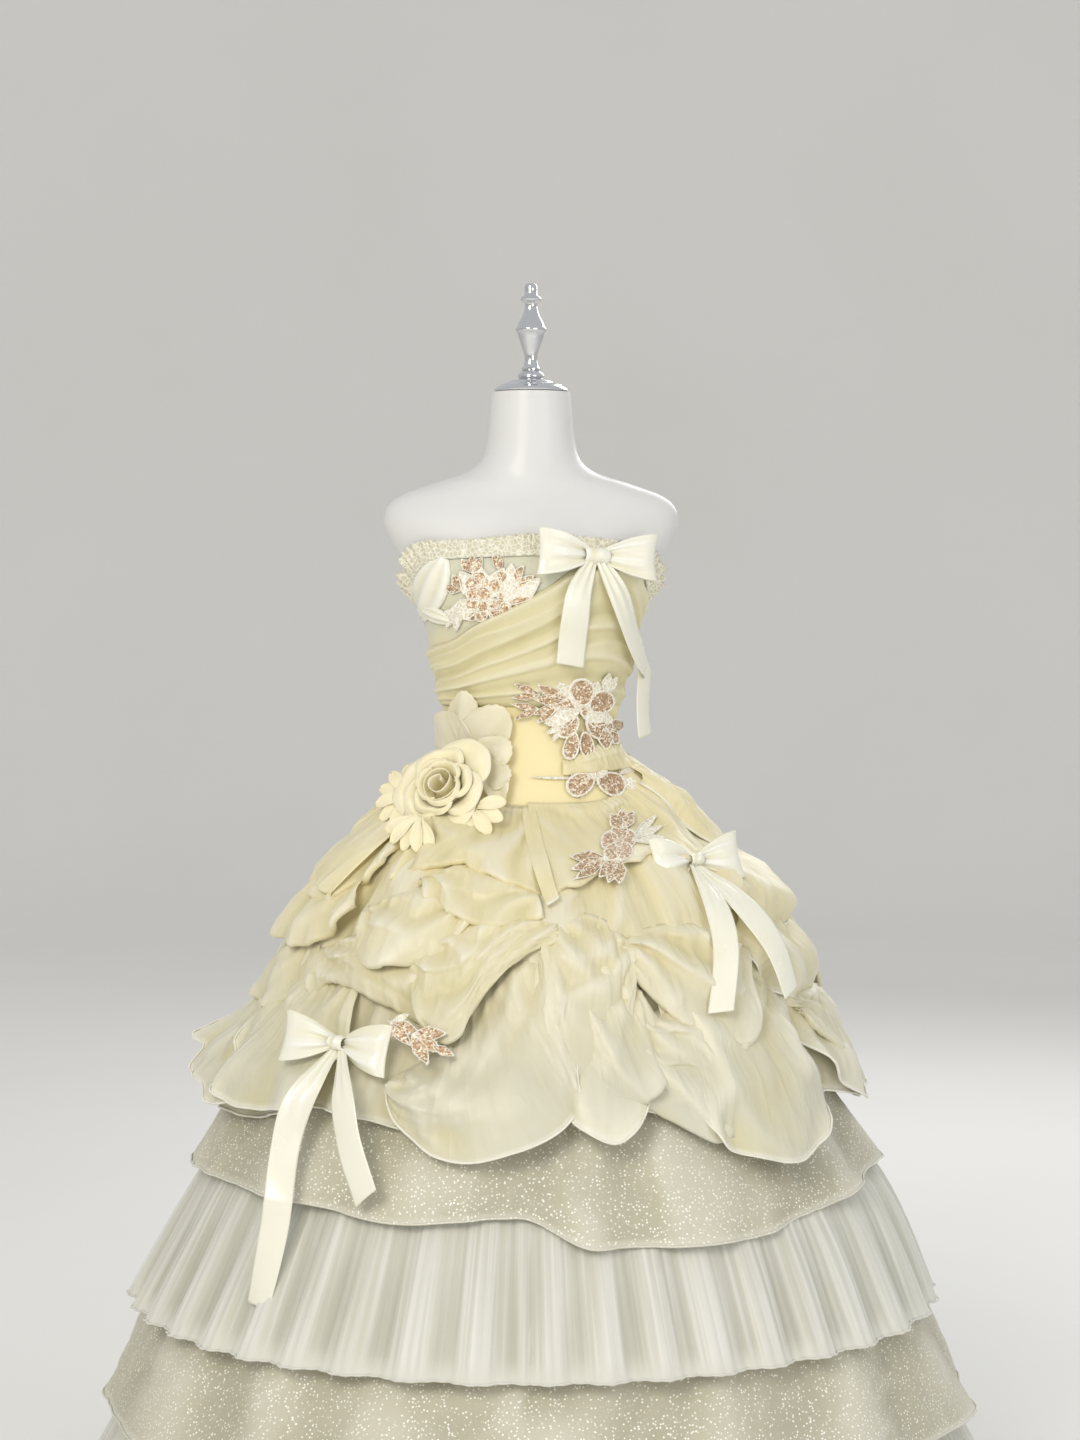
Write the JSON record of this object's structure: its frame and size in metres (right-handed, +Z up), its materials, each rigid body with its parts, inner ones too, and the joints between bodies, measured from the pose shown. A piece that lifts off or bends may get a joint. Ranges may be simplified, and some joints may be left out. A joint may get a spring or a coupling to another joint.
{
  "type": "ball gown on a dress form",
  "caption": "Strapless tiered ball gown with a draped bodice, organza overskirt, pleated and glitter tulle tiers, satin bows and a cloth rose, worn on a limbless dress form on a stand.",
  "frame": {"origin": "centre of the stand's round base, on the floor", "axes": "+Z up the form, -Y out of the front of the gown, +X to the right as seen from the front"},
  "size_m": [1.28, 1.245, 1.6516],
  "materials": {
    "form_white": "smooth white moulded shell with a satin sheen",
    "polished_chrome": "turned and polished",
    "stand_metal": "plain white enamel, hidden under the skirt",
    "bodice_cloth": "pale yellow satin under tulle",
    "chiffon": "butter yellow pleated chiffon",
    "lace": "cream embroidered lace edging",
    "petticoat_net": "stiff white net",
    "glitter_tulle": "off-white tulle with fine silver glitter",
    "pleated_tulle": "white knife-pleated tulle",
    "organza": "cream organza with a rolled hem",
    "satin": "ivory satin ribbon",
    "rose_cloth": "cream organza and satin petals",
    "embroidery": "ivory thread with rose gold sequins"
  },
  "bodies": {
    "root": {"form_base": "stand_metal", "form_pole": "stand_metal", "form_torso": "form_white", "neck_cap": "polished_chrome", "finial": "polished_chrome", "bodice_front": "bodice_cloth", "bodice_back_left": "bodice_cloth", "bodice_back_right": "bodice_cloth", "petticoat": "petticoat_net", "glitter_tier_upper": "glitter_tulle", "pleated_tier_upper": "pleated_tulle", "glitter_tier_lower": "glitter_tulle", "pleated_tier_lower": "pleated_tulle", "overskirt": "organza", "lobe_left_side": "organza", "lobe_back_left": "organza", "lobe_back": "organza", "lobe_back_right": "organza", "lobe_right_side": "organza", "lobe_front_right": "organza", "lobe_front_mid": "organza", "lobe_front_left": "organza", "lobe_left_flare": "organza", "ruffle_left_low": "organza", "ruffle_left_mid": "organza", "ruffle_left_high": "organza", "puff_right_low": "organza", "puff_right_mid": "organza", "puff_right_high": "organza", "puff_back": "organza", "bodice_drape": "chiffon", "neck_frill": "lace", "applique_bust": "embroidery", "applique_waist": "embroidery", "applique_hip": "embroidery", "spray_left": "rose_cloth", "spray_low": "rose_cloth", "spray_right": "rose_cloth", "rose_heart": "rose_cloth", "rose_petal_1": "rose_cloth", "rose_petal_2": "rose_cloth", "rose_petal_3": "rose_cloth", "rose_petal_4": "rose_cloth", "rose_petal_5": "rose_cloth", "rose_petal_6": "rose_cloth", "bow_bust_knot": "satin", "bow_bust_loop_left": "satin", "bow_bust_loop_right": "satin", "bow_bust_tail_1": "satin", "bow_bust_tail_2": "satin", "bow_right_knot": "satin", "bow_right_loop_left": "satin", "bow_right_loop_right": "satin", "bow_right_tail_1": "satin", "bow_right_tail_2": "satin", "bow_left_knot": "satin", "bow_left_loop_left": "satin", "bow_left_loop_right": "satin", "bow_left_tail_1": "satin", "bow_left_tail_2": "satin"}
  },
  "joints": []
}
